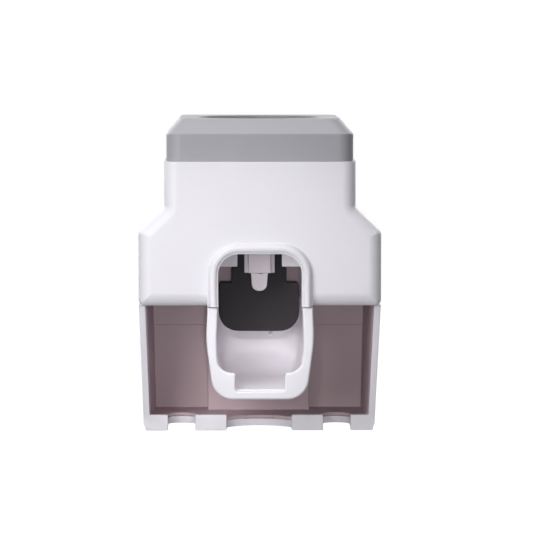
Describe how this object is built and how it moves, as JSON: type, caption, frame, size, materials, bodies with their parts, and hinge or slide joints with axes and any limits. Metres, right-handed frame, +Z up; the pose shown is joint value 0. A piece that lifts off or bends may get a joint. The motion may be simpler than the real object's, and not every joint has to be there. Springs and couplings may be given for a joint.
{
  "type": "toothpaste dispenser",
  "caption": "Wall-mounted toothpaste dispenser: a tube stands upside down in the collar, a push lever pumps paste onto the brush, and two side bays hang toothbrushes.",
  "frame": {"origin": "centre of the adhesive pad's back face, on the wall", "axes": "+X to the right seen from the front, +Y into the wall, +Z up"},
  "size_m": [0.08, 0.0645, 0.1058],
  "materials": {
    "white_plastic": "glossy white ABS",
    "grey_plastic": "satin grey ABS",
    "taupe_plastic": "satin taupe plastic",
    "black_plastic": "satin black plastic",
    "milky_plastic": "milky polypropylene",
    "silicone": "translucent silicone",
    "black_rubber": "smooth black rubber",
    "clear_gel": "clear adhesive gel",
    "steel": "plain steel"
  },
  "bodies": {
    "wall_mount": {"adhesive_pad": "clear_gel", "wall_plate": "white_plastic"},
    "housing": {"rear_shell": "white_plastic", "bay_liner": "taupe_plastic", "brush_cup": "white_plastic", "cup_screws": "steel", "pump_chassis": "white_plastic", "chassis_screws": "steel", "tube_seal": "silicone", "seal_cap": "white_plastic", "inlet_valve": "silicone", "cylinder_gasket": "silicone", "pump_cylinder": "milky_plastic", "cylinder_screws": "steel", "return_spring": "steel", "nozzle_tip": "silicone", "lever_pin": "steel", "pin_clip": "steel"},
    "cover": {"front_cover": "white_plastic"},
    "collar": {"top_collar": "grey_plastic"},
    "lever": {"push_lever": "black_plastic"},
    "plunger": {"plunger": "white_plastic", "plunger_seal": "black_rubber"}
  },
  "joints": [
    {"name": "housing_lift", "type": "slide", "parent": "wall_mount", "child": "housing", "axis": [0, 0, 1], "range_m": [0, 0.0055]},
    {"name": "cover_pull", "type": "slide", "parent": "housing", "child": "cover", "axis": [0, -1, 0], "range_m": [0, 0.04]},
    {"name": "collar_lift", "type": "slide", "parent": "housing", "child": "collar", "axis": [0, 0, 1], "range_m": [0, 0.03]},
    {"name": "lever_swing", "type": "hinge", "parent": "housing", "child": "lever", "pos_m": [0, -0.0275, -0.0027], "axis": [1, 0, 0], "range_deg": [0, 20], "stiffness_Nm_per_rad": 0.025, "springref_deg": -17.19},
    {"name": "plunger_stroke", "type": "slide", "parent": "housing", "child": "plunger", "axis": [0, -1, 0], "range_m": [0, 0.0032], "deforming": ["return_spring"]}
  ],
  "couplings": [
    {"joint": "plunger_stroke", "follows": "lever_swing", "m_per_rad": 0.009}
  ]
}
